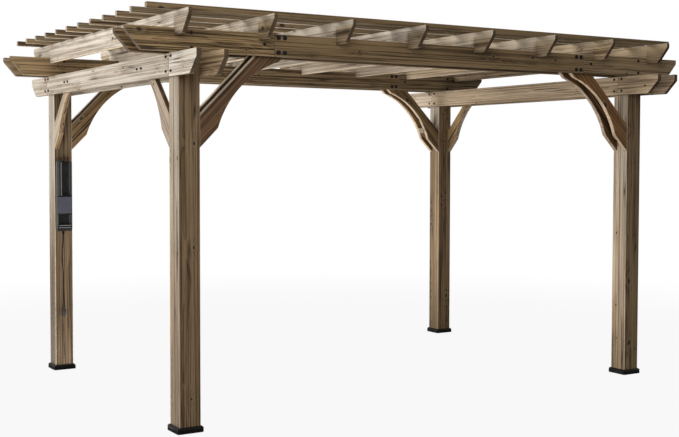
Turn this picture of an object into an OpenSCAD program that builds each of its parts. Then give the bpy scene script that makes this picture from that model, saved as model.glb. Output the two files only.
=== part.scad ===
// Wooden pergola: four posts, paired beams and headers, scooped braces, notched rafters and slats,
// with a power box and its cord on one post.
// Millimetres, +Z up, standing on Z = 0. The long side runs along X and the front faces -Y.

/* [Posts] */
// Side of each square post
post_w = 133; // [90:1:180]
// Distance between post centres along the long side
post_spacing_x = 3490; // [2800:10:4200]
// Distance between post centres along the short side
post_spacing_y = 2284; // [1900:2:2800]
// Distance from the post tops down to the tops of the headers
post_top_drop = 12; // [4:1:60]
// Radius of the eased post edges
post_ease = 5; // [2:0.5:12]
// Width of the glue line down the left and right faces
glue_line_w = 3; // [1:0.5:8]

/* [Base covers] */
// Width of the wall that each cover adds round its post
cover_wall = 15; // [8:1:40]
// Height of a cover
cover_h = 36; // [24:1:80]
// Height and width of the sloping top edge
cover_bevel = 11; // [3:0.5:14]
// Radius of the corners
cover_corner = 14; // [4:1:30]
// Clearance round the post
cover_gap = 0.3; // [0.1:0.1:2]

/* [Beams across the ends] */
// Height from the ground to the underside of the beams
clear_height = 2030; // [1800:5:2600]
// Height of a beam board
beam_h = 133; // [100:1:200]
// Thickness of a beam board
beam_t = 30; // [18:1:50]
// Length of a beam from nose to nose
beam_length = 3048; // [2900:2:3800]
// Height of the upright nose at a beam's ends
beam_nose = 44; // [15:1:70]
// Length of the slanting cut under the nose
beam_cut = 94; // [40:1:140]

/* [Headers along the sides] */
// Height of a header board
header_h = 133; // [100:1:200]
// Thickness of a header board
header_t = 35; // [18:1:50]
// Length of a header from nose to nose
header_length = 4267; // [4000:1:5200]
// Length of the middle board between the two joints
header_middle = 2438; // [1800:2:2600]
// Height of the upright nose at a header's ends
header_nose = 30; // [15:1:70]
// Length of the slanting cut under the nose
header_cut = 90; // [40:1:140]
// Open width of a butt joint between boards
butt_gap = 0.8; // [0.3:0.1:3]

/* [Braces] */
// Width of the board that a brace is cut from
brace_w = 133; // [100:1:180]
// Thickness of a brace plate
brace_t = 35; // [18:1:50]
// Distance from the underside of the beams to the lowest tip of a brace
brace_drop = 403; // [300:1:600]
// Straight length at the foot of a brace
brace_foot = 162; // [120:1:260]
// Length of the scoop along the lower edge
scoop_length = 559; // [400:1:640]
// Depth of the scoop at its middle
scoop_depth = 68; // [30:1:80]
// Distance from the upper end of a brace down to the top of the boards beside it
brace_top_drop = 8; // [2:1:40]
// Distance from the lowest tip of a back brace, along it, to the block between its plates
spacer_start = 148; // [120:1:200]
// Length of the block between two plates
spacer_length = 107; // [60:1:140]
// Width of the block between two plates
spacer_w = 52; // [46:1:60]
// Distance from the block to the lower edge of the plates
spacer_rise = 20; // [6:1:30]

/* [Rafters and slats] */
// Distance between rafter centres
rafter_pitch = 525; // [480:1:570]
// Height of a rafter
rafter_h = 133; // [100:1:200]
// Thickness of a rafter
rafter_t = 27; // [18:1:50]
// Length of a rafter from nose to nose
rafter_length = 2880; // [2780:2:3600]
// Height of the upright nose at a rafter's ends
rafter_nose = 30; // [15:1:50]
// Length of the slanting cut under the nose
rafter_cut = 90; // [40:1:120]
// Depth of the notches over the headers
notch_depth = 40; // [10:1:60]
// Clearance on each side of a header board in its notch
notch_gap = 1; // [0.3:0.1:3]
// Distance between slat centres
slat_pitch = 229; // [180:1:240]
// Height of a slat
slat_h = 35; // [20:1:60]
// Thickness of a slat
slat_t = 28; // [18:1:50]
// Length of a slat
slat_length = 4050; // [3900:5:5000]

/* [Power box] */
// Width of the box
box_w = 112; // [90:1:125]
// Height of the box
box_h = 515; // [460:5:600]
// Depth of the box
box_d = 30; // [24:1:50]
// Distance from the foot of the braces down to the top of the box
box_drop = 82; // [20:1:300]
// Radius of the corners of the box
box_corner = 7; // [3:0.5:12]
// Thickness of the walls above, between and below the pockets
box_wall = 9; // [6:0.5:12]
// Thickness of the left wall of the upper pocket
upper_left_wall = 18; // [10:1:24]
// Thickness of the other side walls of the pockets
side_wall = 8; // [5:0.5:14]
// Depth of the pockets
box_pocket = 18; // [8:1:20]
// Height of the upper pocket
upper_pocket_h = 246; // [200:1:260]
// Height of the lower pocket
lower_pocket_h = 76; // [50:1:90]
// Height of the plain panel between the pockets
panel_h = 122; // [80:1:130]
// Thickness of the plain panel
panel_t = 3; // [1.5:0.5:6]
// Width of the divider in the upper pocket
divider_w = 8; // [5:0.5:12]
// Distance from the left wall of the upper pocket to the divider
divider_inset = 10; // [4:1:24]
// Height of each of the two lips under the lower pocket
lip_h = 6; // [3:0.5:7]
// Distance that the lips stand out from the front
lip_d = 5; // [2:0.5:10]
// Distance from the lower pocket down to the first lip
lip_drop = 1; // [0.5:0.5:4]
// Distance between the lips
lip_gap = 9; // [4:0.5:9]
// Height of the sloping underside
box_slope = 21; // [10:1:30]
// Depth of the flat strip of the underside, next to the post
box_flat = 20; // [17:1:23]

/* [Cord] */
// Diameter of the cord
cord_d = 7; // [5:0.5:9]
// Length of the sleeve where the cord leaves the box
sleeve_length = 28; // [20:1:50]
// Length of the plug without its blades
plug_length = 54; // [40:1:80]
// Length of the plug's tapered neck
plug_neck = 24; // [12:1:36]
// Width of the plug's body
plug_w = 27; // [22:1:29]
// Length of the plug's blades
blade_length = 17; // [12:1:22]

/* [Hidden] */
$fn = 64;
rafter_count = 8;
slat_count = 12;
post_x = post_spacing_x / 2;
post_y = post_spacing_y / 2;
header_z = clear_height + beam_h;
header_top = header_z + header_h;
post_h = header_top - post_top_drop;
rafter_z = header_top - notch_depth;
slat_z = rafter_z + rafter_h;
brace_z = clear_height - brace_drop;
brace_end = brace_w * sqrt(2);
scoop_r = pow(scoop_length, 2) / (8 * scoop_depth) + scoop_depth / 2;
scoop_mid = brace_foot + scoop_length / 2;
plate_gap = post_w - 2 * brace_t;
// Faces that touch are kept this far apart
seat = 0.1;
// Cuts run this far past the faces that they open
over = 1;
scoop_sides = 360;
// Distance from a post's middle to the boards bolted to its faces
board_x = post_w / 2 + seat;
// Signs that pick the left or right and the front or back
left = -1;
right = 1;
front = -1;
back = 1;
// Front face of the box and middle of its cord
box_x = -post_x;
box_back = post_y - post_w / 2 - seat;
box_front = box_back - box_d;
box_top = brace_z - box_drop;
box_bottom = box_top - box_h;
upper_pocket_z = box_top - box_wall - upper_pocket_h;
panel_z = upper_pocket_z - box_wall - panel_h;
lower_pocket_z = panel_z - box_wall - lower_pocket_h;
upper_pocket_x = box_x - box_w / 2 + upper_left_wall;
upper_pocket_w = box_w - upper_left_wall - side_wall;
cord_y = box_back - box_flat / 2;
// Walls of the sleeve and of the plug's neck round the cord
sleeve_end_wall = 1.5;
sleeve_top_wall = 4;
neck_wall = 1;
neck_step = 4;
cord_sides = 8;
// Blades and pin of a common three-pin plug
blade_pitch = 12.7;
blade_t = 1.5;
blade_w = 6.4;
blade_y = 4;
earth_pin_d = 4.8;
earth_pin_y = blade_y - 11.9;
// Points on the cord's middle line: sideways and forwards from its exit, and down from the box
CORD = [[-8, 0, 28], [-8, 0, 60], [-11, 1, 100], [-16, 3, 140], [-19, 4, 180], [-18, 4, 220],
    [-14, 4, 260], [-11, 4, 300], [-10, 4, 340], [-11, 4, 380], [-11, 4, 420], [-10, 4, 460],
    [-8, 5, 500], [-7, 5, 535], [-7, 5, 565]];

// A square with rounded corners about the origin
module rounded_square(w, d, r) {
    square([w - 2 * r, d], center = true);
    square([w, d - 2 * r], center = true);
    for (x = [-1, 1], y = [-1, 1])
        translate([x * (w / 2 - r), y * (d / 2 - r)]) circle(r = r);
}

// Side outline of a board from a to b, with a nose and a slanting cut at the ends that are clipped
function board_outline(a, b, h, clip_a, clip_b, nose, cut) = concat(
    [[a, h], [a, clip_a ? h - nose : 0]],
    clip_a ? [[a + cut, 0]] : [],
    clip_b ? [[b - cut, 0]] : [],
    [[b, clip_b ? h - nose : 0], [b, h]]);

// Stands a side outline up along X, with its thickness growing towards -Y from y
module along_x(y, z, t) {
    translate([0, y, z]) rotate([90, 0, 0]) linear_extrude(t) children();
}

// Stands a side outline up along Y, with its thickness growing towards +X from x
module along_y(x, z, t) {
    translate([x, 0, z]) rotate([90, 0, 90]) linear_extrude(t) children();
}

// Square post with eased edges and a glue line down its left and right faces
module post(sx, sy) {
    color("tan") translate([sx * post_x, sy * post_y, 0])
        difference() {
            linear_extrude(post_h) rounded_square(post_w, post_w, post_ease);
            for (side = [-1, 1])
                translate([side * post_w / 2, 0, -over])
                    linear_extrude(post_h + 2 * over)
                        rotate(45) square(glue_line_w / sqrt(2), center = true);
        }
}

// Low cover round the foot of a post, with a sloping top edge
module base_cover(sx, sy) {
    hole = post_w + 2 * cover_gap;
    outer = hole + 2 * cover_wall;
    bevel_side = cover_bevel * sqrt(2);
    color("dimgray") translate([sx * post_x, sy * post_y, 0])
        difference() {
            linear_extrude(cover_h) rounded_square(outer, outer, cover_corner);
            translate([0, 0, -over])
                linear_extrude(cover_h + 2 * over)
                    rounded_square(hole, hole, post_ease);
            for (turn = [0 : 90 : 270])
                rotate(turn)
                    translate([outer / 2, 0, cover_h])
                        rotate([0, 45, 0])
                            cube([bevel_side, outer + 2 * over, bevel_side], center = true);
        }
}

// Beam board across one end: a middle board between the posts and a tail past each post
module beam(x) {
    half = beam_length / 2;
    joint = post_y - butt_gap / 2;
    tail = post_y + butt_gap / 2;
    color("burlywood") along_y(x, clear_height, beam_t) {
        polygon(board_outline(-joint, joint, beam_h, false, false, beam_nose, beam_cut));
        polygon(board_outline(-half, -tail, beam_h, true, false, beam_nose, beam_cut));
        polygon(board_outline(tail, half, beam_h, false, true, beam_nose, beam_cut));
    }
}

// Header board along one side: a middle board and a shorter board at each end
module header(y) {
    half = header_length / 2;
    joint = header_middle / 2 - butt_gap / 2;
    end = header_middle / 2 + butt_gap / 2;
    color("peru") along_x(y, header_z, header_t) {
        polygon(board_outline(-joint, joint, header_h, false, false, header_nose, header_cut));
        polygon(board_outline(-half, -end, header_h, true, false, header_nose, header_cut));
        polygon(board_outline(end, half, header_h, false, true, header_nose, header_cut));
    }
}

// Scoop along the lower edge of a brace at 45 degrees off the post.
// The first axis runs away from the post's face and the second runs up.
module scoop() {
    along = scoop_mid / sqrt(2);
    below = (scoop_r - scoop_depth) / sqrt(2);
    translate([along + below, brace_z + along - below]) circle(r = scoop_r, $fn = scoop_sides);
}

// Outline of a brace plate, with the axes of the scoop
module brace_outline(top) {
    difference() {
        polygon([[seat, brace_z + seat], [seat, brace_z + brace_end],
            [top - brace_z - brace_end, top], [top - brace_z, top]]);
        scoop();
    }
}

// Pair of brace plates under a header, flush with the front and back faces of the post
module long_brace(sx, sy) {
    top = header_top - brace_top_drop;
    color("sienna") translate([sx * (post_x - post_w / 2), sy * post_y, 0])
        mirror([sx > 0 ? 1 : 0, 0, 0])
            for (y = [post_w / 2, brace_t - post_w / 2])
                along_x(y, 0, brace_t) brace_outline(top);
}

// Block between the two plates of a back brace, near the foot and cut to the same scoop
module spacer(sx) {
    color("rosybrown") translate([sx * (post_x - post_w / 2), post_y, 0])
        mirror([sx > 0 ? 1 : 0, 0, 0])
            along_x(plate_gap / 2 - seat, 0, plate_gap - 2 * seat)
                difference() {
                    translate([0, brace_z]) rotate(45) translate([spacer_start, spacer_rise])
                        square([spacer_length, spacer_w]);
                    scoop();
                }
}

// Single brace plate under a beam, flush with the outer face of the post
module end_brace(sx, sy) {
    top = header_z - brace_top_drop;
    color("sienna") translate([sx * post_x, sy * (post_y - post_w / 2), 0])
        mirror([0, sy > 0 ? 1 : 0, 0])
            along_y(sx > 0 ? post_w / 2 - brace_t : -post_w / 2, 0, brace_t) brace_outline(top);
}

// Rafter across the headers, notched over each of their boards
module rafter(i) {
    half = rafter_length / 2;
    notch_w = header_t + 2 * notch_gap;
    board = board_x + header_t / 2;
    color("tan") along_y((i - (rafter_count - 1) / 2) * rafter_pitch - rafter_t / 2, rafter_z, rafter_t)
        difference() {
            polygon(board_outline(-half, half, rafter_h, true, true, rafter_nose, rafter_cut));
            for (side = [-1, 1], face = [-1, 1])
                translate([side * post_y + face * board, (notch_depth - over) / 2])
                    square([notch_w, notch_depth + over], center = true);
        }
}

// Square-edged slat across the rafters
module slat(i) {
    y = (i - (slat_count - 1) / 2) * slat_pitch;
    color("wheat") translate([-slat_length / 2, y - slat_t / 2, slat_z])
        cube([slat_length, slat_t, slat_h]);
}

// Extrudes an outline forwards from the back of the box, about the middle of its front
module box_depth(y, z, d) {
    translate([box_x, y, z]) rotate([90, 0, 0]) linear_extrude(d) children();
}

// Housing on the post, with two pockets, two lips and a sloping underside
module power_housing() {
    side_outline = [[box_front - over, -over], [box_front - over, box_slope], [box_front, box_slope],
        [box_back - box_flat, 0], [box_back - box_flat, -over]];
    color("darkslategray") difference() {
        union() {
            box_depth(box_back, box_bottom + box_h / 2, box_d)
                rounded_square(box_w, box_h, box_corner);
            for (i = [0, 1])
                box_depth(box_front, lower_pocket_z - lip_drop - lip_h / 2 - i * (lip_gap + lip_h), lip_d)
                    rounded_square(box_w - 2 * box_corner, lip_h, lip_h / 3);
        }
        translate([upper_pocket_x, box_front - over, upper_pocket_z])
            cube([upper_pocket_w, box_pocket + over, upper_pocket_h]);
        translate([box_x - box_w / 2 + side_wall, box_front - over, lower_pocket_z])
            cube([box_w - 2 * side_wall, box_pocket + over, lower_pocket_h]);
        translate([box_x - box_w, 0, box_bottom])
            rotate([90, 0, 90]) linear_extrude(2 * box_w) polygon(side_outline);
    }
}

// Plain panel on the front of the housing between the pockets
module power_panel() {
    color("slategray") box_depth(box_front, panel_z + panel_h / 2, panel_t)
        rounded_square(box_w - box_wall, panel_h, box_corner / 2);
}

// Upright divider with a round nose, on the floor of the upper pocket
module power_divider() {
    nose = divider_w / 2;
    x = upper_pocket_x + divider_inset + nose;
    color("gray") translate([x, box_front + box_pocket, upper_pocket_z + seat])
        linear_extrude(upper_pocket_h - 2 * seat) {
            translate([-nose, nose - box_pocket]) square([divider_w, box_pocket - nose]);
            translate([0, nose - box_pocket]) circle(r = nose);
        }
}

// Point on the middle line of the cord
function cord_point(i) = [box_x + CORD[i][0], cord_y - CORD[i][1], box_bottom - CORD[i][2]];

// Tapered sleeve where the cord leaves the housing
module sleeve() {
    exit = cord_point(0);
    color("black") translate([exit[0], exit[1], box_bottom - sleeve_length])
        cylinder(h = sleeve_length, d1 = cord_d + 2 * sleeve_end_wall, d2 = cord_d + 2 * sleeve_top_wall);
}

// Round cord swept along its points, with level rings because it hangs straight down
module cord() {
    rings = len(CORD);
    points = [for (i = [0 : rings - 1], k = [0 : cord_sides - 1])
        cord_point(i) + cord_d / 2 * [cos(360 * k / cord_sides), sin(360 * k / cord_sides), 0]];
    sides = [for (i = [0 : rings - 2], k = [0 : cord_sides - 1]) let (n = (k + 1) % cord_sides)
        [i * cord_sides + k, i * cord_sides + n, (i + 1) * cord_sides + n, (i + 1) * cord_sides + k]];
    top = [for (k = [cord_sides - 1 : -1 : 0]) k];
    bottom = [for (k = [0 : cord_sides - 1]) (rings - 1) * cord_sides + k];
    color("black") polyhedron(points = points, faces = concat(sides, [top], [bottom]));
}

// Plug at the end of the cord: a tapered neck, a round body, two flat blades and a round pin
module plug() {
    color("dimgray") translate(cord_point(len(CORD) - 1)) {
        translate([0, 0, -plug_neck])
            cylinder(h = plug_neck, d1 = plug_w - 2 * neck_step, d2 = cord_d + 2 * neck_wall);
        translate([0, 0, -plug_length]) cylinder(h = plug_length - plug_neck, d = plug_w);
        translate([0, 0, -plug_length - blade_length]) {
            for (side = [-1, 1])
                translate([side * blade_pitch / 2 - blade_t / 2, blade_y - blade_w / 2, 0])
                    cube([blade_t, blade_w, blade_length + over]);
            translate([0, earth_pin_y, 0]) cylinder(h = blade_length + over, d = earth_pin_d);
        }
    }
}

post(left, front);  // post_front_left
post(right, front);  // post_front_right
post(left, back);  // post_back_left
post(right, back);  // post_back_right
base_cover(left, front);  // base_cover_front_left
base_cover(right, front);  // base_cover_front_right
base_cover(left, back);  // base_cover_back_left
base_cover(right, back);  // base_cover_back_right
beam(-post_x - board_x - beam_t);  // left_beam_outer
beam(-post_x + board_x);  // left_beam_inner
beam(post_x - board_x - beam_t);  // right_beam_inner
beam(post_x + board_x);  // right_beam_outer
header(-post_y - board_x);  // front_header_outer
header(-post_y + board_x + header_t);  // front_header_inner
header(post_y - board_x);  // back_header_inner
header(post_y + board_x + header_t);  // back_header_outer
long_brace(left, front);  // long_brace_front_left
long_brace(right, front);  // long_brace_front_right
long_brace(left, back);  // long_brace_back_left
long_brace(right, back);  // long_brace_back_right
for (sx = [left, right]) spacer(sx);  // brace_spacers
end_brace(left, front);  // end_brace_front_left
end_brace(right, front);  // end_brace_front_right
end_brace(left, back);  // end_brace_back_left
end_brace(right, back);  // end_brace_back_right
for (i = [1 : rafter_count]) rafter(i - 1);
for (i = [1 : slat_count]) slat(i - 1);
power_housing();  // power_box
power_panel();  // power_box_panel
power_divider();  // power_box_divider
sleeve();  // cord_sleeve
cord();  // power_cord
plug();  // power_plug
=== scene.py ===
"""Looks of a wooden pergola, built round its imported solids: stained softwood boards on four posts,
black bolts and base covers, and a power box with its cord on one post. Metres, +Z up, front at -Y."""
import math

import bmesh
import bpy
from mathutils import Matrix, Vector


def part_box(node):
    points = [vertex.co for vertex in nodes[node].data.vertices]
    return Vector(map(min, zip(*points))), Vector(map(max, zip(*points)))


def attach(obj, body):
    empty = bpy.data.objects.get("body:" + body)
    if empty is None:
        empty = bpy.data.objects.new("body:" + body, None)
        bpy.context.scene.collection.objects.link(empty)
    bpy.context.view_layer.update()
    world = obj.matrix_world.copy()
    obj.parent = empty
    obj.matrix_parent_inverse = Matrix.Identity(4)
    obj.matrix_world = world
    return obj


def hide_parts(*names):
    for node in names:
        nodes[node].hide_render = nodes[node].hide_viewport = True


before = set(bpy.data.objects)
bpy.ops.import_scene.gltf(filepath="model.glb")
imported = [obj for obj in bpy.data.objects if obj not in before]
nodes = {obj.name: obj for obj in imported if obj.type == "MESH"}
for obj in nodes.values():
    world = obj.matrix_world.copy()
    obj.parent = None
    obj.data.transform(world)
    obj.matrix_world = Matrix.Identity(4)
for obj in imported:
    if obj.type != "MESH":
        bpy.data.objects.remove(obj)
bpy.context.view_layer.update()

# Posts
# Four square posts of stained softwood, each laminated from two planks that are glued face to face.
# The glue line runs down the left and right faces. Their left faces are painted paler towards the top, and
# some darker
# low down: painted light and shade from the upper left, as well as bleaching.
ALONG_X = Vector((1, 0, 0))
ALONG_Y = Vector((0, 1, 0))
ALONG_Z = Vector((0, 0, 1))


class Field:
    """A value that varies over a surface: the output of a shader node. Arithmetic on it adds Math nodes."""

    def __init__(self, tree, output):
        self.tree = tree
        self.output = output

    def add(self, kind, settings, inputs, output=0):
        """Adds a node of any kind: its settings first, then the values or links of its sockets."""
        node = self.tree.nodes.new("ShaderNode" + kind)
        for name, value in settings.items():
            setattr(node, name, value)
        for name, value in inputs.items():
            if isinstance(value, Field):
                self.tree.links.new(value.output, node.inputs[name])
            else:
                node.inputs[name].default_value = value
        return Field(self.tree, node.outputs[output])

    def other(self, output):
        """Another output of the same node."""
        return Field(self.tree, self.output.node.outputs[output])

    def math(self, operation, *values):
        return self.add("Math", {"operation": operation}, dict(enumerate(values)))

    def __add__(self, value):
        return self.math("ADD", self, value)

    def __radd__(self, value):
        return self.math("ADD", value, self)

    def __sub__(self, value):
        return self.math("SUBTRACT", self, value)

    def __rsub__(self, value):
        return self.math("SUBTRACT", value, self)

    def __mul__(self, value):
        return self.math("MULTIPLY", self, value)

    def __rmul__(self, value):
        return self.math("MULTIPLY", value, self)

    def __truediv__(self, value):
        return self.math("DIVIDE", self, value)

    def __pow__(self, value):
        return self.math("POWER", self, value)

    def __abs__(self):
        return self.math("ABSOLUTE", self)

    def above(self, value):
        return self.math("GREATER_THAN", self, value)

    def exponent(self):
        return self.math("EXPONENT", self)

    def fraction(self):
        return self.math("FRACT", self)

    def largest(self, value):
        return self.math("MAXIMUM", self, value)

    def rise(self, low, high):
        """Goes smoothly from 0 at low to 1 at high."""
        return self.add("MapRange", {"interpolation_type": "SMOOTHSTEP"},
                        {"Value": self, "From Min": low, "From Max": high})

    def offset(self, vector):
        return self.add("VectorMath", {"operation": "SUBTRACT"}, {0: self, 1: vector})

    def dot(self, vector):
        return self.add("VectorMath", {"operation": "DOT_PRODUCT"}, {0: self, 1: vector}, "Value")

    def scale(self, value):
        return self.add("VectorMath", {"operation": "SCALE"}, {0: self, "Scale": value})

    def times(self, vector):
        return self.add("VectorMath", {"operation": "MULTIPLY"}, {0: self, 1: vector})

    def split(self):
        """The three parts of a vector or a colour."""
        first = self.add("SeparateXYZ", {}, {0: self})
        return first, first.other(1), first.other(2)

    def join(self, x, y, z):
        return self.add("CombineXYZ", {}, {0: x, 1: y, 2: z})

    def noise(self, scale=1.0, detail=2.0, roughness=0.5):
        """Cloudy noise about 0.5 at this place."""
        return self.add("TexNoise", {}, {"Vector": self, "Scale": scale, "Detail": detail,
                                         "Roughness": roughness})

    def mix(self, first, second):
        """Goes from the first colour to the second as this value goes from 0 to 1."""
        return self.add("Mix", {"data_type": "RGBA"}, {0: self, 6: paint(first), 7: paint(second)}, 2)


def paint(colour):
    """A colour as a socket takes it."""
    return colour if isinstance(colour, Field) else (*colour, 1.0)


def between(first, second, share):
    """The value that lies a share of the way from the first to the second."""
    return first + (second - first) * share


def blank_finish(name, **constants):
    """A new material, its shader with the given constant sockets, and the place on the part in metres."""
    material = bpy.data.materials.new(name)
    material.use_nodes = True
    tree = material.node_tree
    shader = tree.nodes["Principled BSDF"]
    for socket, value in constants.items():
        shader.inputs[socket.replace("_", " ")].default_value = value
    place = tree.nodes.new("ShaderNodeTexCoord").outputs["Object"]
    return material, shader, Field(tree, place)


def apply(shader, colour, roughness, height, depth):
    """Links a colour, a roughness and a relief of the given depth in metres to a shader."""
    links = colour.tree.links
    relief = height.add("Bump", {}, {"Strength": 1.0, "Distance": depth, "Height": height})
    links.new(colour.output, shader.inputs["Base Color"])
    links.new(roughness.output, shader.inputs["Roughness"])
    links.new(relief.output, shader.inputs["Normal"])


def dress(node, material):
    """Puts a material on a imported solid."""
    mesh = nodes[node].data
    mesh.materials.clear()
    mesh.materials.append(material)


def middle(node):
    low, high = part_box(node)
    return (low + high) / 2


def figure(spot, lengthwise, across, detail=2.0, roughness=0.5):
    """Noise drawn out along the grain: so many waves in a metre along a plank, and so many across it."""
    along, side, deep = spot
    return along.join(along * lengthwise, side * across, deep * across).noise(1.0, detail, roughness)


def knots(spot, narrow, luck):
    """The knots of a plank, the pale halo round each one, and how far the rings swirl about it.

    Each cell of a grid over a face holds one knot at most. The narrow faces have a grid of their own."""
    cells_per_metre = 3.6
    cells_across = 7.5
    narrow_shift = 0.37
    plank_shift = 9
    knot_share = 0.65
    knot_length = 1.7
    smallest = 0.0034
    growth = 0.0090
    raggedness = 1.2
    swirl_fall = 0.30
    along, side, deep = spot
    cell_run = along * cells_per_metre
    cell_side = (side + narrow * (deep - side + narrow_shift)) * cells_across + plank_shift * luck[1]
    cell = along.add("TexVoronoi", {"voronoi_dimensions": "2D"},
                     {"Vector": along.join(cell_run, cell_side, 0.0), "Scale": 1.0}, "Position")
    cell_luck = cell.other("Color").split()
    centre = cell.split()
    away_run = (cell_run - centre[0]) / (cells_per_metre * knot_length)
    away_side = (cell_side - centre[1]) / cells_across
    away = (away_run * away_run + away_side * away_side) ** 0.5
    ragged = figure(spot, 40, 90, detail=1.0) - 0.5
    radii_away = away / (smallest + growth * cell_luck[1] * cell_luck[1]) + raggedness * ragged
    there = cell_luck[0].above(1 - knot_share)
    knot = there * (1 - radii_away.rise(0.7, 1.15))
    halo = there * radii_away.rise(0.8, 1.4) * (1 - radii_away.rise(1.5, 3.2))
    swirl = there * (radii_away * -swirl_fall).exponent()
    return knot, halo, swirl


def late_wood(spot, luck, swirl):
    """The dark late wood of the growth rings, round a heart that lies beside the plank and sways."""
    ring_width = 0.0065
    heart_spread = 0.09
    heart_sway = 0.16
    heart_nearest = 0.03
    heart_range = 0.06
    swirl_bend = 0.018
    wobble_bend = 0.008
    sharpness = 2.2
    along, side, deep = spot
    sway = along.join(along * 0.8, 7 * luck[1], 0.0).noise(detail=1.0) - 0.5
    out_side = side - (heart_spread * (luck[1] - 0.5) + heart_sway * sway)
    out_deep = deep - (heart_nearest + heart_range * luck[2])
    radius = (out_side * out_side + out_deep * out_deep) ** 0.5
    wobble = figure(spot, 3, 20) - 0.5
    return ((radius + swirl_bend * swirl + wobble_bend * wobble) / ring_width).fraction() ** sharpness


def timber(node, grain, face, pale, dark, board, bleach_and_light=lambda run, height: 0.0, lit_side=-ALONG_X,
           low_shade=lambda height: 0.0, stain_and_shade=lambda run, deep, height: 0.0, end_stain=0.85, sawn_and_lit=0.0,
           wear_and_light=(1.0, 1.0), under_shade=0.0):
    """Dresses a node in stained softwood with rings, fibres, knots, cracks, rubbed edges and dark ends.

    The grain runs along one direction and the width of the plank along another. board gives each plank its
    own number from a place in it. bleach_and_light says how far the faces turned to lit_side are painted
    paler and greyer at a place along the plank and a height: painted light, as well as bleaching. low_shade
    says how much painted shade darkens those faces at a height. stain_and_shade says how much darker the
    plank is, or paler if less than 0, at a place along it, through it and up: dark joints, and painted light
    and shade. end_stain says how dark the cut ends are, sawn_and_lit how pale the cut edges are, partly as
    painted light, wear_and_light how much the lower and upper corners are rubbed pale, the upper ones also
    painted paler as light falls on them, and under_shade how much painted shade darkens the underside."""
    log_length = 30
    lit_silver_pale = (0.54, 0.49, 0.42)
    lit_silver_dark = (0.26, 0.208, 0.155)
    sawn_lit_pale = (0.80, 0.68, 0.54)
    sawn_lit_dark = (0.26, 0.17, 0.105)
    halo_colour = (0.46, 0.35, 0.22)
    knot_colour = (0.030, 0.016, 0.009)
    crack_colour = (0.022, 0.014, 0.009)
    bare_and_lit_colour = (0.62, 0.53, 0.41)
    end_pale = (0.105, 0.066, 0.038)
    end_dark = (0.030, 0.019, 0.012)
    warm_tint = (1.05, 1.0, 0.90)
    cool_tint = (0.96, 1.0, 1.06)
    plank_tones = (0.80, 1.10)
    blotch_tones = (0.80, 1.20)
    lit_bleach_patches = (0.6, 1.4)
    bare_patches = (0.35, 1.0)
    halo_cover = 0.22
    knot_cover = 0.9
    crack_cover = 0.8
    relief = 0.0008
    material, shader, place = blank_finish("timber_" + node, Specular_IOR_Level=0.20)

    # The place on the plank, along the grain, across it and through it, and the plank's own chance values.
    thick = grain.cross(face)
    local = place.offset(middle(node))
    run = local.dot(grain)
    side = local.dot(face)
    deep = local.dot(thick)
    level = place.split()[2]
    plank = board(run, side, deep)
    luck = place.add("TexWhiteNoise", {"noise_dimensions": "1D"}, {"W": plank}, "Color").split()
    spot = (run + log_length * luck[0], side, deep)

    # Which way the surface looks, by the cosine of its angle to each direction.
    normal = place.add("NewGeometry", {}, {}, "Normal")
    broad = abs(normal.dot(thick))
    narrow = abs(normal.dot(face)).rise(0.6, 0.8)
    end = abs(normal.dot(grain)).rise(0.45, 0.75)
    corner = broad.rise(0.15, 0.45) * (1 - broad.rise(0.90, 0.985))
    sawn_edge = 1 - broad.rise(0.2, 0.5)
    # Faces turned to the light, which are painted paler, undersides, which are painted darker as shade, and
    # upper corners, which are painted paler as light falls on them.
    facing_light = normal.dot(lit_side).rise(0.15, 0.75)
    underside = normal.dot(-ALONG_Z).rise(0.3, 0.9)
    upper = normal.dot(face).above(0.0)

    # The marks in the wood.
    knot, halo, swirl = knots(spot, narrow, luck)
    late = late_wood(spot, luck, swirl)
    streak = figure(spot, 0.9, 24, detail=3.0) - 0.5
    thread = figure(spot, 0.8, 105).rise(0.40, 0.60) - 0.5
    fibre = figure(spot, 8, 260) - 0.5
    blotch = figure(spot, 1.6, 6, detail=4.0, roughness=0.6)
    dryness = figure(spot, 1.3, 9).rise(0.50, 0.60)
    split = abs(figure(spot, 0.4, 20) - 0.5)
    crack = dryness * (1 - split.rise(0.002, 0.014))
    margin = dryness * (1 - split.rise(0.004, 0.055))

    # The colour, from the fresh wood outwards to its wear, its painted light and shade, and its dark cut
    # ends.
    lit_bleach = bleach_and_light(run, level) * facing_light * between(*lit_bleach_patches, blotch)
    shade = (0.24 + 0.40 * late + (1.5 - 0.8 * lit_bleach) * streak + 0.75 * thread + 0.8 * fibre + 0.4 * swirl
             + 0.35 * margin)
    colour = shade.mix(lit_bleach.mix(pale, lit_silver_pale), lit_bleach.mix(dark, lit_silver_dark))
    # Cut edges: pale wood, with painted light and shade by how much light falls on them.
    sawn_lit_colour = ((1.2 - sawn_and_lit) * shade).mix(sawn_lit_pale, sawn_lit_dark)
    colour = (sawn_and_lit * sawn_edge).mix(colour, sawn_lit_colour)
    colour = (halo_cover * halo).mix(colour, halo_colour)
    colour = colour.times(luck[0].mix(warm_tint, cool_tint))
    colour = colour.scale(between(*plank_tones, luck[2]) * between(*blotch_tones, blotch))
    colour = (knot_cover * knot).mix(colour, knot_colour)
    colour = (crack_cover * crack).mix(colour, crack_colour)
    # Rubbed corners, the upper ones also painted paler as light falls on them.
    bare_and_lit = between(*wear_and_light, upper) * corner * between(*bare_patches, blotch.rise(0.30, 0.60))
    colour = bare_and_lit.mix(colour, bare_and_lit_colour)
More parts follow.
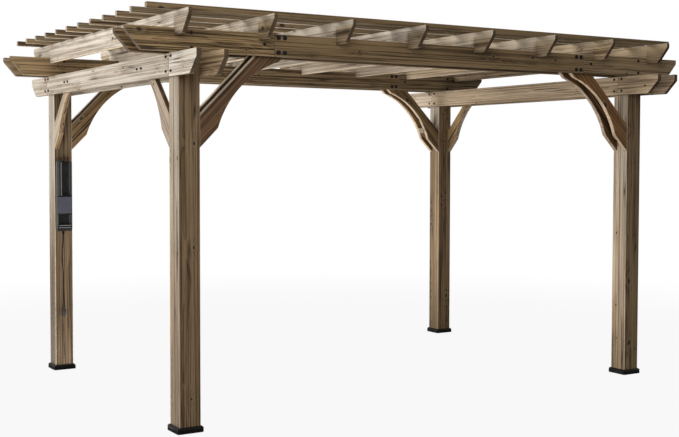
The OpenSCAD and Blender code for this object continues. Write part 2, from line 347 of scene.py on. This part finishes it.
    # Dark joints, and painted light and shade: paler or darker along the plank, darker low on faces turned
    # to the light, darker on undersides.
    kept_light = (1 - stain_and_shade(run, deep, level)) * (1 - low_shade(level) * facing_light) * (1 - under_shade * underside)
    colour = colour.scale(kept_light)
    colour = (end_stain * end).mix(colour, (0.3 + 0.6 * late + streak).mix(end_pale, end_dark))
    roughness = 0.60 + 0.20 * late + 0.2 * fibre - 0.1 * knot
    height = 0.5 * late + 0.8 * fibre + 0.6 * knot - 1.6 * crack
    apply(shader, colour, roughness, height, relief)
    dress(node, material)


# For each post: how far its left face is painted paler and greyer, as painted light from the upper left as
# well as bleaching, the height where that begins and the height where it is full. Then how much painted
# shade darkens that face near the ground and higher up. POST_STEP parts the planks' numbers.
POST_PALE = (0.36, 0.252, 0.150)
POST_DARK = (0.090, 0.052, 0.024)
POST_TONE = {"front_left": 0.86, "front_right": 1.08, "back_left": 0.62, "back_right": 0.79}
POST_BLEACH_AND_LIGHT = {"front_left": (0.95, 0.2, 2.1), "front_right": (0.78, -0.8, 2.2),
               "back_left": (1.0, 0.7, 1.75), "back_right": (1.0, 1.65, 1.88)}
POST_LOW_SHADE = {"front_left": (0.22, 0.17), "back_left": (0.42, 0.04)}
POST_STEP = 3.7
UNSHADED = (0.0, 0.0)
LOW_SHADE_HEIGHTS = (0.3, 1.3)
GLUE_STAIN = 0.6
GLUE_EDGE = (0.0025, 0.0050)
CORNERS = ["front_left", "front_right", "back_left", "back_right"]
for number, corner in enumerate(CORNERS):
    tone = POST_TONE[corner]
    lit_bleached, lowest, highest = POST_BLEACH_AND_LIGHT[corner]
    low_shade_share, high_shade_share = POST_LOW_SHADE.get(corner, UNSHADED)
    timber("post_" + corner, ALONG_Z, ALONG_X,
           pale=[tone * part for part in POST_PALE],
           dark=[tone * part for part in POST_DARK],
           board=lambda run, side, deep: POST_STEP * number + deep.above(0.0),
           bleach_and_light=lambda run, height: lit_bleached * height.rise(lowest, highest),
           low_shade=lambda height: between(low_shade_share, high_shade_share, height.rise(*LOW_SHADE_HEIGHTS)),
           stain_and_shade=lambda run, deep, height: GLUE_STAIN * (1 - abs(deep).rise(*GLUE_EDGE)))

# Beams across the ends
# Two softwood boards on each end, one on each side of the posts, bolted through them.
# Each is a middle board between the posts and a tail past each post, clipped under its nose.
BEAM_PALE = (0.48, 0.350, 0.215)
BEAM_DARK = (0.130, 0.080, 0.040)
BEAM_OUTWARD = {"left_beam_outer": -1, "left_beam_inner": 1, "right_beam_inner": -1, "right_beam_outer": 1}
# How far the left faces of the middle board and the tails of each beam are painted paler: painted light, as
# well as bleaching.
BEAM_BLEACH_AND_LIGHT = {"left_beam_outer": (0.95, 0.95), "left_beam_inner": (0.75, 0.15),
               "right_beam_inner": (0.40, 0.40), "right_beam_outer": (0.05, 0.20)}
# How much darker a beam is at its front and at its back.
BEAM_DARKENING = {"left_beam_outer": (-0.06, -0.02)}
EVEN = (0.0, 0.0)
FRONT_TO_BACK = (-0.8, 1.0)
# Upper corners are painted paler than lower ones, as light falls on them, besides their wear, and undersides
# are painted darker as shade.
BEAM_WEAR_AND_LIGHT = (0.2, 1.0)
BEAM_UNDER_SHADE = 0.45
BEAM_FIRST = 29.7
BEAM_STEP = 7.8
BOARD_EASE = 0.005
# Each bolt's place: how far inward of the post's middle, and how high on the board.
BEAM_BOLTS = [(-0.036, 0.030), (-0.036, 0.113), (0.036, 0.030), (0.036, 0.113)]
END_BRACE_BOLTS = [(0.415, 0.072), (0.482, 0.072)]
BEAM_WASHER = 0.017
BEAM_FLATS = 0.012


def ease(piece, radius):
    """Rounds the sharp edges of a sawn board or a moulding."""
    weld_reach = 0.00002
    least_bend = math.radians(30)
    weld = piece.modifiers.new("weld", "WELD")
    weld.merge_threshold = weld_reach
    bevel = piece.modifiers.new("ease", "BEVEL")
    bevel.width = radius
    bevel.segments = 2
    bevel.limit_method = "ANGLE"
    bevel.angle_limit = least_bend
    piece.modifiers.new("shading", "WEIGHTED_NORMAL")


def black_steel():
    """Black-coated steel, with bright specks that are chips in the coating and painted glints."""
    coating = (0.006, 0.006, 0.006)
    bright = (0.30, 0.28, 0.25)
    chips_per_metre = 420.0
    grains_per_metre = 1500.0
    relief = 0.0001
    material, shader, place = blank_finish("black_steel", Specular_IOR_Level=0.22)
    chip_and_glint = place.noise(chips_per_metre, detail=3.0).rise(0.62, 0.70)
    skin = place.noise(grains_per_metre)
    colour = (0.5 * chip_and_glint).mix(coating, bright)
    roughness = 0.40 + 0.3 * skin - 0.1 * chip_and_glint
    apply(shader, colour, roughness, skin - 0.5 * chip_and_glint, relief)
    return material


def placed(name, data):
    """A new object in the scene, at the origin."""
    thing = bpy.data.objects.new(name, data)
    bpy.context.scene.collection.objects.link(thing)
    return thing


bolt_black = black_steel()


def bolt_heads(name, places, outward, washer, flats):
    """Hexagon heads on round washers, one at each place on a board's face, each at its own turn."""
    sides = 24
    sunk = 0.001
    washer_height = 0.0022
    head_height = 0.45 * flats
    chamfer = 0.0008
    corner_fall = 0.6
    turn_each = 1.1
    half_side = math.pi / 6
    parts = bmesh.new()
    face_turn = outward.to_track_quat("Z", "Y").to_matrix().to_4x4()
    for number, place in enumerate(places):
        seat = Matrix.Translation(place) @ face_turn @ Matrix.Rotation(turn_each * number, 4, "Z")
        columns = []
        for step in range(sides):
            angle = 2 * math.pi * step / sides
            corner = abs((angle + half_side) % (2 * half_side) - half_side)
            hexagon = flats / 2 / math.cos(half_side - corner)
            fall = (hexagon - flats / 2) * corner_fall + chamfer / 2
            profile = [(washer / 2, -sunk), (washer / 2, washer_height - chamfer),
                       (washer / 2 - chamfer, washer_height), (hexagon, washer_height),
                       (hexagon, washer_height + head_height - fall),
                       (flats / 2 - chamfer, washer_height + head_height)]
            around = Vector((math.cos(angle), math.sin(angle), 0.0))
            columns.append([parts.verts.new(seat @ (radius * around + height * ALONG_Z))
                            for radius, height in profile])
        rings = list(zip(*columns))
        for low, high in zip(rings, rings[1:]):
            for step in range(sides):
                after = (step + 1) % sides
                parts.faces.new((low[step], low[after], high[after], high[step]))
        parts.faces.new(rings[0][::-1])
        parts.faces.new(rings[-1])
    mesh = bpy.data.meshes.new(name)
    parts.to_mesh(mesh)
    parts.free()
    mesh.materials.append(bolt_black)
    heads = placed(name, mesh)
    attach(heads, "root")


post_y = middle("post_back_left").y
for number, (beam, outward) in enumerate(BEAM_OUTWARD.items()):
    middle_lit_bleach, tail_lit_bleach = BEAM_BLEACH_AND_LIGHT[beam]
    near_darkening, far_darkening = BEAM_DARKENING.get(beam, EVEN)
    timber(beam, ALONG_Y, ALONG_Z, BEAM_PALE, BEAM_DARK,
           board=lambda run, side, deep: (BEAM_FIRST + BEAM_STEP * number + run.above(-post_y)
                                          + run.above(post_y)),
           bleach_and_light=lambda run, height: between(middle_lit_bleach, tail_lit_bleach, abs(run).above(post_y)),
           stain_and_shade=lambda run, deep, height: between(near_darkening, far_darkening, run.rise(*FRONT_TO_BACK)),
           wear_and_light=BEAM_WEAR_AND_LIGHT, under_shade=BEAM_UNDER_SHADE)
    ease(nodes[beam], BOARD_EASE)
    low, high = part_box(beam)
    face_x = low.x if outward < 0 else high.x
    bolts = BEAM_BOLTS + END_BRACE_BOLTS if "outer" in beam else BEAM_BOLTS
    places = [Vector((face_x, end * (post_y - inward), low.z + up))
              for end in (-1, 1) for inward, up in bolts]
    bolt_heads(beam + "_bolts", places, outward * ALONG_X, BEAM_WASHER, BEAM_FLATS)

# Headers along the sides
# Two softwood boards on each side, one on each face of the posts, bolted on and standing on the beams.
# Each is an 8 ft board with a 3 ft board butted to each end, clipped under its nose.
HEADER_PALE = (0.385, 0.279, 0.163)
HEADER_DARK = (0.045, 0.029, 0.014)
# Upper corners are painted paler than lower ones, as light falls on them, besides their wear, and undersides
# are painted darker as shade.
HEADER_WEAR_AND_LIGHT = (0.4, 1.0)
HEADER_UNDER_SHADE = 0.35
HEADER_JOINT = 1.219
HEADER_FIRST = 50.7
HEADER_STEP = 5.9
HEADER_OUTWARD = {"front_header_outer": -1, "front_header_inner": 1, "back_header_inner": -1,
                  "back_header_outer": 1}
# Each bolt's place: how far from the header's middle, and how high on the board.
SPLICE_BOLTS = [(1.191, 0.025), (1.191, 0.112), (1.149, 0.025), (1.149, 0.112)]
SPLICE_WASHER = 0.028
SPLICE_FLATS = 0.016
POST_BOLTS = [(1.284, 0.069), (1.745, 0.025), (1.745, 0.110)]
POST_WASHER = 0.020
POST_FLATS = 0.013
for number, (header, outward) in enumerate(HEADER_OUTWARD.items()):
    timber(header, ALONG_X, ALONG_Z, HEADER_PALE, HEADER_DARK,
           board=lambda run, side, deep: (HEADER_FIRST + HEADER_STEP * number + run.above(-HEADER_JOINT)
                                          + run.above(HEADER_JOINT)),
           wear_and_light=HEADER_WEAR_AND_LIGHT, under_shade=HEADER_UNDER_SHADE)
    ease(nodes[header], BOARD_EASE)
    low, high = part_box(header)
    face_y = low.y if outward < 0 else high.y
    for kind, bolts, washer, flats in [("_splice_bolts", SPLICE_BOLTS, SPLICE_WASHER, SPLICE_FLATS),
                                       ("_post_bolts", POST_BOLTS, POST_WASHER, POST_FLATS)]:
        places = [Vector((end * x, face_y, low.z + up)) for end in (-1, 1) for x, up in bolts]
        bolt_heads(header + kind, places, outward * ALONG_Y, washer, flats)

# Braces
# Softwood plates at 45 degrees with a scoop sawn along the lower edge: pairs under the headers, and single
# ones under the outer beams. A short block spaces the two plates of each back pair.
BRACE_PALE = (0.212, 0.118, 0.061)
BRACE_DARK = (0.024, 0.013, 0.007)
# How far the left faces of the left braces are painted paler: painted light, as well as bleaching.
BRACE_BLEACH_AND_LIGHT = {"front_left": 0.5, "back_left": 0.72}
BRACE_TONE = {"front_left": (1.0, 1.0, 1.0), "front_right": (1.5, 1.45, 1.25),
              "back_left": (1.3, 1.42, 1.25), "back_right": (2.1, 2.4, 2.1)}
# Upper corners are painted paler than lower ones, as light falls on them, besides their wear.
BRACE_WEAR_AND_LIGHT = (0.1, 1.0)
BRACE_STEP = 3.3
LONG_FIRST = 80.1
END_FIRST = 97.1
# How pale the sawn edges are painted on the braces of the left posts, and of the right ones: the pale cut
# wood, painted lighter where light falls on them and darker where shade falls.
LONG_SAWN_AND_LIT = (0.98, 0.65)
END_SAWN_AND_LIT = (0.1, 0.6)
# The space between the plates of a pair, whose inner faces are painted dark on the left as shade. A single
# plate has none.
PLATE_GAP = 0.063
NO_GAP = -1.0
GAP_SHADE = 0.7
GAP_EDGE = (0.0005, 0.0015)
# The spacer block between the plates is painted darker as shade.
SPACER_PLANK = 140.0
SPACER_SHADE = 0.45
SPACER_EASE = 0.003
for number, corner in enumerate(CORNERS):
    right = "right" in corner
    inward_x = -ALONG_X if right else ALONG_X
    inward_y = ALONG_Y if "front" in corner else -ALONG_Y
    sunlit = BRACE_BLEACH_AND_LIGHT.get(corner, 0.0)
    painted_gap_shade = 0.0 if right else GAP_SHADE
    tone = BRACE_TONE[corner]
    kinds = [("long_brace_", inward_x, LONG_FIRST, LONG_SAWN_AND_LIT[right], PLATE_GAP),
             ("end_brace_", inward_y, END_FIRST, END_SAWN_AND_LIT[right], NO_GAP)]
    for kind, inward, first, sawn_and_lit, gap in kinds:
        gap_from, gap_to = [gap / 2 + past for past in GAP_EDGE]
        timber(kind + corner, (inward + ALONG_Z).normalized(), (ALONG_Z - inward).normalized(),
               pale=[part * more for part, more in zip(BRACE_PALE, tone)],
               dark=[part * more for part, more in zip(BRACE_DARK, tone)],
               board=lambda run, side, deep: first + BRACE_STEP * number + deep.above(0.0),
               bleach_and_light=lambda run, height: sunlit,
               stain_and_shade=lambda run, deep, height: painted_gap_shade * (1 - abs(deep).rise(gap_from, gap_to)),
               sawn_and_lit=sawn_and_lit, wear_and_light=BRACE_WEAR_AND_LIGHT)
        ease(nodes[kind + corner], BOARD_EASE)
timber("brace_spacers", ALONG_Y, (ALONG_X + ALONG_Z).normalized(), BRACE_PALE, BRACE_DARK,
       board=lambda run, side, deep: SPACER_PLANK,
       stain_and_shade=lambda run, deep, height: SPACER_SHADE)
ease(nodes["brace_spacers"], SPACER_EASE)

# Rafters
# Eight softwood boards on edge across the headers, notched over each header board and clipped under their
# noses. Their left faces are painted paler, less and less towards the right end: painted light from the
# left, as well as bleaching. Low on their tails past the headers they are painted darker as shade.
RAFTER_PALE = (0.46, 0.345, 0.215)
RAFTER_DARK = (0.120, 0.078, 0.040)
RAFTER_BLEACH_AND_LIGHT = [1.0, 1.0, 0.9, 0.8, 0.6, 0.4, 0.25, 0.15]
# How much darker each rafter is painted at its front, at its back and low on its tails, or paler if less
# than 0:
# painted light and shade.
RAFTER_LIGHT_AND_SHADE = [(-0.15, -0.05, 0.32), (-0.30, -0.30, 0.42), (-0.08, -0.08, 0.35), (0.05, 0.05, 0.35),
                (-0.05, -0.05, 0.38), (0.0, 0.0, 0.20), (0.0, 0.0, 0.10), (0.06, 0.06, 0.30)]
# How much of the painted paleness is taken away low on the tails, where painted shade falls.
TAIL_UNLIT = [0.6, 1.0, 1.0, 1.0, 1.0, 1.0, 1.0, 1.0]
RAFTER_FIRST = 240.5
RAFTER_STEP = 2.8
HEADER_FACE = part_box("back_header_outer")[1].y
TAIL_FROM = (HEADER_FACE - 0.008, HEADER_FACE + 0.012)
TAIL_HEIGHTS = (0.065, 0.125)


def shaded_tail(run, up):
    """Where painted shade falls on a rafter: 1 low on its tails, past the headers, and 0 along their tops
    and between the headers.
    """
    return abs(run).rise(*TAIL_FROM) * (1 - up.rise(*TAIL_HEIGHTS))


for number in range(8):
    rafter = f"rafter_{number + 1}"
    rafter_lit_bleach = RAFTER_BLEACH_AND_LIGHT[number]
    tail_unlit = TAIL_UNLIT[number]
    near_darkening, far_darkening, tail_shade = RAFTER_LIGHT_AND_SHADE[number]
    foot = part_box(rafter)[0].z
    timber(rafter, ALONG_Y, ALONG_Z, RAFTER_PALE, RAFTER_DARK,
           board=lambda run, side, deep: RAFTER_FIRST + RAFTER_STEP * number,
           bleach_and_light=lambda run, height: rafter_lit_bleach * (1 - tail_unlit * shaded_tail(run, height - foot)),
           stain_and_shade=lambda run, deep, height: (tail_shade * shaded_tail(run, height - foot)
                                            + between(near_darkening, far_darkening, run.rise(*FRONT_TO_BACK))))
    ease(nodes[rafter], BOARD_EASE)

# Slats
# Twelve square-edged softwood battens laid across the rafters and fixed down to them.
# Their ends are hardly darkened, and their left ends and undersides are painted paler: painted light from
# the left and below, as well as bleaching.
SLAT_PALE = (0.34, 0.25, 0.150)
SLAT_DARK = (0.090, 0.058, 0.028)
SLAT_BLEACH_AND_LIGHT = 0.9
SLAT_LIT_SIDE = Vector((-0.75, 0.0, -0.66))
SLAT_END_STAIN = 0.15
SLAT_FIRST = 302.6
SLAT_STEP = 2.3
SLAT_EASE = 0.002
for number in range(12):
    slat = f"slat_{number + 1}"
    timber(slat, ALONG_X, ALONG_Z, SLAT_PALE, SLAT_DARK,
           board=lambda run, side, deep: SLAT_FIRST + SLAT_STEP * number,
           bleach_and_light=lambda run, height: SLAT_BLEACH_AND_LIGHT, lit_side=SLAT_LIT_SIDE, end_stain=SLAT_END_STAIN)
    ease(nodes[slat], SLAT_EASE)

# Base covers
# Low covers of black moulded plastic, with a fine grain on their skin.
# Each sits on the ground, close round the foot of a post.
COVER_BLACK = (0.004, 0.004, 0.0035)
COVER_ROUGHNESS = 0.5
COVER_GRAIN = 0.0012
COVER_EASE = 0.0015


def moulding(name, colour, roughness, grain_size, gloss=0.12):
    """Moulded plastic with a fine grain and dust. The colour is plain, or a function of the place."""
    dust_colour = (0.30, 0.28, 0.25)
    dust_cover = 0.05
    dust_per_metre = 14.0
    relief = 0.00015
    material, shader, place = blank_finish(name, Specular_IOR_Level=gloss)
    grain = place.noise(1 / grain_size)
    dust = place.noise(dust_per_metre, detail=5.0, roughness=0.65).rise(0.45, 0.75)
    tint = (dust_cover * dust).mix(colour(place) if callable(colour) else colour, dust_colour)
    apply(shader, tint, roughness + 0.25 * dust + 0.1 * grain, grain, relief)
    return material


cover_black = moulding("cover_black", COVER_BLACK, COVER_ROUGHNESS, COVER_GRAIN)
for corner in CORNERS:
    cover = "base_cover_" + corner
    dress(cover, cover_black)
    ease(nodes[cover], COVER_EASE)

# Power box
# A shallow moulded housing on the back left post, with an upper pocket split by a divider,
# a plain panel, a lower pocket and two drip lips over its sloping underside.
# The pockets and the sloping underside are painted black as shade, except where they face the light from the
# left, the seams round the panel are dark, the lips are painted lighter as highlights and the divider
# lighter as its lit ridge.
BOX_GREY = (0.066, 0.069, 0.067)
BOX_POCKET_SHADE = (0.010, 0.010, 0.011)
BOX_LIP_HIGHLIGHT = (0.15, 0.155, 0.165)
BOX_UNDER_SHADE = (0.003, 0.003, 0.003)
PANEL_GREY = (0.072, 0.076, 0.100)
DIVIDER_LIT_GREY = (0.17, 0.175, 0.175)
HOUSING_ROUGHNESS = 0.42
PANEL_ROUGHNESS = 0.40
DIVIDER_ROUGHNESS = 0.35
BOX_GRAIN = 0.0009
BOX_EASE = 0.0012
SEAM = 0.009
POCKET_FLOOR = 1.074
# How far the pockets stand in from the left side, the lower one and the upper one, and from the right side.
POCKET_LEFT = (0.008, 0.022)
POCKET_RIGHT = 0.020
POCKET_EDGE = (-0.001, 0.001)
LIP_EDGE = (0.0005, 0.0015)
box_low, box_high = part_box("power_box")
panel_low, panel_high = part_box("power_box_panel")
panel_middle = (panel_low.z + panel_high.z) / 2
panel_half = (panel_high.z - panel_low.z) / 2


def housing(place):
    """Grey skin, lips painted lighter as highlights, pockets and underside painted black as shade, and dark
    seams.
    """
    x, y, z = place.split()
    normal = place.add("NewGeometry", {}, {}, "Normal")
    sunlit = normal.dot(-ALONG_X).rise(0.5, 0.8)
    pocket_left = box_low.x + between(*POCKET_LEFT, z.above(panel_high.z))
    pocket_right = box_high.x - POCKET_RIGHT
    inside = (x - pocket_left).rise(*POCKET_EDGE) * (pocket_right - x).rise(*POCKET_EDGE)
    past_panel = abs(z - panel_middle) - panel_half
    seam = past_panel.above(0.0) * (1 - past_panel.above(SEAM))
    pocket = inside.largest(seam) * (1 - sunlit)
    under_shade = (1 - z.above(POCKET_FLOOR)) * (1 - sunlit)
    lip = (panel_high.y - y).rise(*LIP_EDGE)
    return lip.mix(under_shade.mix(pocket.mix(BOX_GREY, BOX_POCKET_SHADE), BOX_UNDER_SHADE), BOX_LIP_HIGHLIGHT)


dress("power_box", moulding("housing_grey", housing, HOUSING_ROUGHNESS, BOX_GRAIN))
dress("power_box_panel", moulding("panel_grey", PANEL_GREY, PANEL_ROUGHNESS, BOX_GRAIN))
dress("power_box_divider", moulding("divider_lit_grey", DIVIDER_LIT_GREY, DIVIDER_ROUGHNESS, BOX_GRAIN))
for node in ["power_box", "power_box_panel"]:
    ease(nodes[node], BOX_EASE)

# Power cord
# A round black rubber cord that leaves the underside of the box through a tapered sleeve, hangs down the
# face of the post and ends in a moulded three-pin plug.
RUBBER_BLACK = (0.002, 0.002, 0.002)
RUBBER_ROUGHNESS = 0.6
RUBBER_GLOSS = 0.03
PLUG_BLACK = (0.003, 0.003, 0.003)
PLUG_ROUGHNESS = 0.22
PLUG_GLOSS = 0.28
CORD_GRAIN = 0.0008
CORD_DIAMETER = 0.007
CORD_ROUTE = [(-1.753, 1.0654, 1.002), (-1.753, 1.0654, 0.970), (-1.756, 1.0644, 0.930),
              (-1.761, 1.0624, 0.890), (-1.764, 1.0614, 0.850), (-1.763, 1.0614, 0.810),
              (-1.759, 1.0614, 0.770), (-1.756, 1.0614, 0.730), (-1.755, 1.0614, 0.690),
              (-1.756, 1.0614, 0.650), (-1.756, 1.0614, 0.610), (-1.755, 1.0614, 0.570),
              (-1.753, 1.0604, 0.530), (-1.752, 1.0604, 0.495), (-1.752, 1.0604, 0.465)]
route = bpy.data.curves.new("power_lead", "CURVE")
route.dimensions = "3D"
route.bevel_depth = CORD_DIAMETER / 2
route.bevel_resolution = 4
route.use_fill_caps = True
line = route.splines.new("POLY")
line.points.add(len(CORD_ROUTE) - 1)
for point, at in zip(line.points, CORD_ROUTE):
    point.co = (*at, 1.0)
lead = placed("power_lead", route)
rubber = moulding("cord_rubber", RUBBER_BLACK, RUBBER_ROUGHNESS, CORD_GRAIN, RUBBER_GLOSS)
route.materials.append(rubber)
dress("cord_sleeve", rubber)
dress("power_plug", moulding("plug_black", PLUG_BLACK, PLUG_ROUGHNESS, CORD_GRAIN, PLUG_GLOSS))
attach(lead, "root")
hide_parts("power_cord")

# Studio
# A pale matt floor that keeps the shadow, and white all round.
# A wide lamp at floor level and a low soft sun light the left side, and a lamp stands at the front left.
WHITE = (1, 1, 1)
FLOOR_HALF = 40.0
FLOOR_GREY = (0.16, 0.15, 0.14)
FLOOR_ROUGHNESS = 0.9
# How white the floor is shown close to the part and far from it, and where it goes from one to the other.
FLOOR_WHITE = (0.93, 1.0)
FLOOR_FADE = (3.5, 8.0)
AMBIENT = 0.22
AMBIENT_TINT = (1.0, 0.96, 0.90)
SUN_STRENGTH = 2.6
SUN_SPREAD = math.radians(25)
SUN_TINT = (1.0, 0.975, 0.94)
SUN_DIRECTION = Vector((1.0, -0.45, -0.10))
floor_mesh = bpy.data.meshes.new("floor")
floor_mesh.from_pydata([(-FLOOR_HALF, -FLOOR_HALF, 0), (FLOOR_HALF, -FLOOR_HALF, 0),
                        (FLOOR_HALF, FLOOR_HALF, 0), (-FLOOR_HALF, FLOOR_HALF, 0)], [], [(0, 1, 2, 3)])
placed("floor", floor_mesh)
floor_paint, floor_shader, place = blank_finish("floor_paint", Roughness=FLOOR_ROUGHNESS,
                                                Base_Color=paint(FLOOR_GREY))
tree = floor_paint.node_tree
seen = place.add("LightPath", {}, {}, "Is Camera Ray")
far = place.add("VectorMath", {"operation": "LENGTH"}, {0: place}, "Value").rise(*FLOOR_FADE)
white = place.add("Emission", {}, {"Color": paint(WHITE), "Strength": 1.0})
lit = Field(tree, floor_shader.outputs[0])
shown = place.add("MixShader", {}, {0: seen * between(*FLOOR_WHITE, far), 1: lit, 2: white})
tree.links.new(shown.output, tree.nodes["Material Output"].inputs["Surface"])
floor_mesh.materials.append(floor_paint)

world = bpy.data.worlds.new("studio")
bpy.context.scene.world = world
world.use_nodes = True
tree = world.node_tree
tree.nodes.clear()
path = Field(tree, tree.nodes.new("ShaderNodeLightPath").outputs["Is Camera Ray"])
plain = path.largest(path.other("Is Glossy Ray")).largest(path.other("Is Transmission Ray"))
ambient = path.add("Background", {}, {"Color": paint(AMBIENT_TINT), "Strength": AMBIENT})
backdrop = path.add("Background", {}, {"Color": paint(WHITE), "Strength": 1.0})
sky = path.add("MixShader", {}, {0: plain, 1: ambient, 2: backdrop})
world_out = tree.nodes.new("ShaderNodeOutputWorld")
tree.links.new(sky.output, world_out.inputs["Surface"])


def aim(direction):
    """The turn that points a lamp in a direction."""
    return direction.to_track_quat("-Z", "Y").to_euler()


def soft_lamp(name, place, target, size, power, colour):
    """A large rectangular lamp turned towards a place on the object."""
    lamp = bpy.data.lights.new(name, "AREA")
    lamp.shape = "RECTANGLE"
    lamp.size, lamp.size_y = size
    lamp.energy = power
    lamp.color = colour
    holder = placed(name, lamp)
    holder.location = place
    holder.rotation_euler = aim(Vector(target) - Vector(place))
    holder.visible_camera = False


soft_lamp("left floor", place=(-4.0, 1.43, 0.02), target=(-4.0, 1.43, 1.0), size=(9.1, 5.15), power=385.0,
          colour=(1.0, 0.97, 0.93))
soft_lamp("front left", place=(-3.8, -5.6, 3.2), target=(-1.7, 0.0, 1.5), size=(3.0, 2.5), power=125.0,
          colour=(1.0, 0.96, 0.90))
sun = bpy.data.lights.new("left", "SUN")
sun.energy = SUN_STRENGTH
sun.angle = SUN_SPREAD
sun.color = SUN_TINT
placed("left", sun).rotation_euler = aim(SUN_DIRECTION)

# Camera
# It stands in front of the left end at about eye height, as the photograph was taken.
# Its place, turn and focal length were fitted to the edges of the posts and boards.
IMAGE_WIDTH = 679
IMAGE_HEIGHT = 437
FOCAL_PIXELS = 1134.9
MIDDLE_PIXEL = (338.6, 203.7)
CAMERA_PLACE = (-4.3616, -7.1359, 1.5721)
YAW = math.radians(31.308)
PITCH = math.radians(-2.312)
ROLL = math.radians(0.115)
lens = bpy.data.cameras.new("camera")
lens.sensor_fit = "HORIZONTAL"
lens.sensor_width = 36.0
lens.lens = FOCAL_PIXELS / IMAGE_WIDTH * lens.sensor_width
lens.shift_x = (IMAGE_WIDTH / 2 - MIDDLE_PIXEL[0]) / IMAGE_WIDTH
lens.shift_y = (MIDDLE_PIXEL[1] - IMAGE_HEIGHT / 2) / IMAGE_WIDTH
lens.clip_end = 200.0
camera = placed("camera", lens)
camera.location = CAMERA_PLACE
turn = Matrix.Rotation(-YAW, 3, "Z")
tilt = Matrix.Rotation(math.pi / 2 + PITCH, 3, "X")
lean = Matrix.Rotation(ROLL, 3, "Z")
camera.rotation_euler = (turn @ tilt @ lean).to_euler()
bpy.context.scene.camera = camera
bpy.context.scene.view_settings.view_transform = "Standard"
